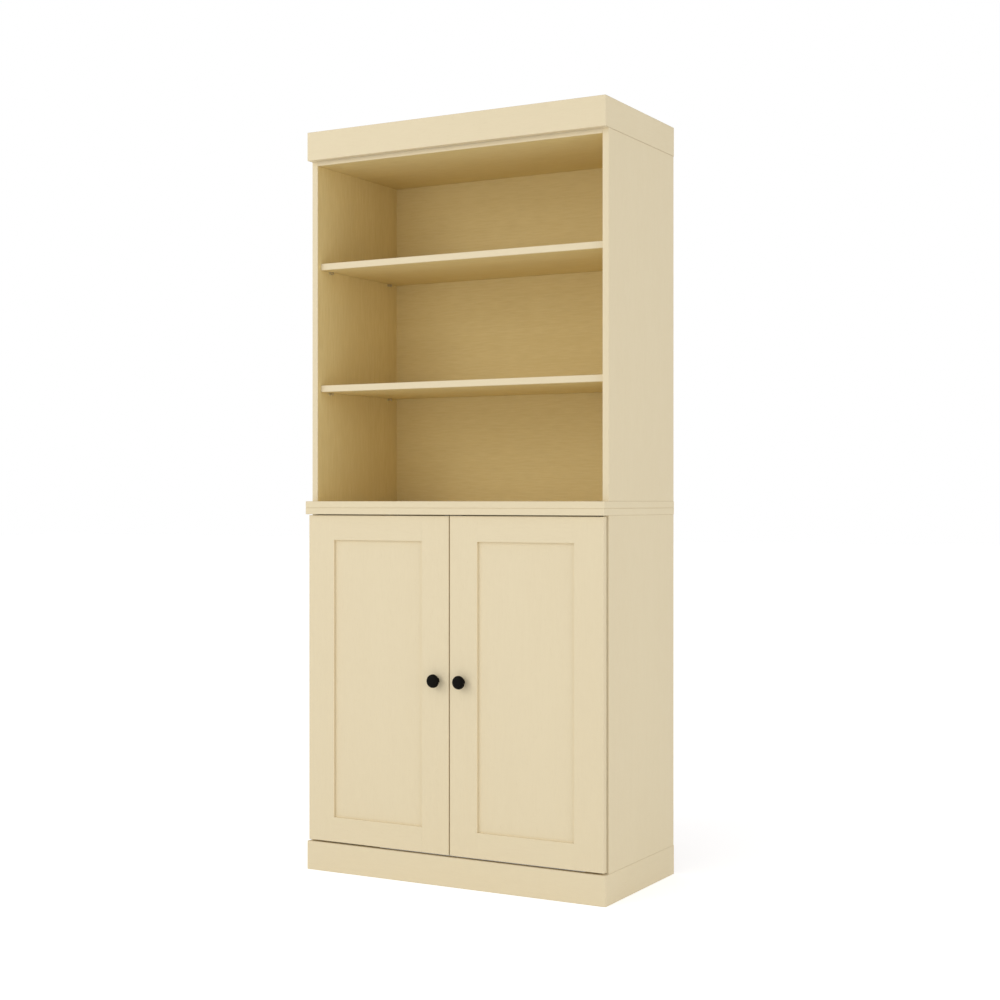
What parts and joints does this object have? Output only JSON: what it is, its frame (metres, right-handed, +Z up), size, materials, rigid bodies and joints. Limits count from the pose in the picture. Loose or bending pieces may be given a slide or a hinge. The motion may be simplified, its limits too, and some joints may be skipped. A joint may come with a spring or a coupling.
{
  "type": "bookcase with cabinet doors",
  "caption": "Tall cream bookcase: open hutch with shelves over a two-door cabinet with framed doors and round black knobs.",
  "frame": {"origin": "on the floor, at the middle of the whole piece from side to side and from the knobs to the back", "axes": "+Z up, +X to the right seen from the front, +Y from the doors towards the back"},
  "size_m": [0.8128, 0.4112, 1.8161],
  "materials": {
    "back_panel": "thin fibreboard, cream paper face",
    "black_knob": "satin black paint",
    "cream_laminate": "satin cream laminate over particle board, faint grain",
    "hinge_steel": "nickel-plated pressed steel",
    "pin_steel": "nickel-plated steel",
    "raw_pine": "raw pine",
    "white_plastic": "moulded, matte",
    "zinc_bolts": "bright zinc"
  },
  "bodies": {
    "root": {"base_front_board": "cream_laminate", "base_right_board": "cream_laminate", "base_left_board": "cream_laminate", "base_rear_rail": "cream_laminate", "base_corner_blocks": "raw_pine", "crown_front_board": "cream_laminate", "crown_right_board": "cream_laminate", "crown_left_board": "cream_laminate", "crown_rear_rail": "cream_laminate", "crown_corner_blocks": "raw_pine", "crown_top_panel": "cream_laminate", "hutch_right_side": "cream_laminate", "hutch_left_side": "cream_laminate", "lower_right_side": "cream_laminate", "lower_left_side": "cream_laminate", "cabinet_floor_board": "cream_laminate", "hutch_top_board": "cream_laminate", "counter_top": "cream_laminate", "hutch_bottom_board": "cream_laminate", "hutch_back_panel": "back_panel", "lower_back_panel": "back_panel", "lower_shelf": "cream_laminate", "upper_shelf": "cream_laminate", "cabinet_shelf": "cream_laminate", "hutch_shelf_pins": "pin_steel", "cabinet_shelf_pins": "pin_steel", "joining_bolts": "zinc_bolts", "right_hinge_arms": "hinge_steel", "left_hinge_arms": "hinge_steel", "right_hinge_plates": "hinge_steel", "left_hinge_plates": "hinge_steel", "magnetic_catch": "white_plastic"},
    "left_door": {"left_hinge_cups": "hinge_steel", "left_hinge_pins": "hinge_steel", "left_hinge_stile": "cream_laminate", "left_meeting_stile": "cream_laminate", "left_top_rail": "cream_laminate", "left_bottom_rail": "cream_laminate", "left_door_panel": "cream_laminate", "left_knob": "black_knob", "left_strike_plate": "hinge_steel"},
    "right_door": {"right_hinge_stile": "cream_laminate", "right_meeting_stile": "cream_laminate", "right_top_rail": "cream_laminate", "right_bottom_rail": "cream_laminate", "right_door_panel": "cream_laminate", "right_knob": "black_knob", "right_hinge_cups": "hinge_steel", "right_hinge_pins": "hinge_steel", "right_strike_plate": "hinge_steel"}
  },
  "joints": [
    {"name": "left_door_hinge", "type": "hinge", "parent": "root", "child": "left_door", "pos_m": [-0.39391, -0.1741, 0.4735], "axis": [0, 0, -1], "range_deg": [0, 95]},
    {"name": "right_door_hinge", "type": "hinge", "parent": "root", "child": "right_door", "pos_m": [0.39391, -0.1741, 0.4735], "axis": [0, 0, 1], "range_deg": [0, 95]}
  ]
}
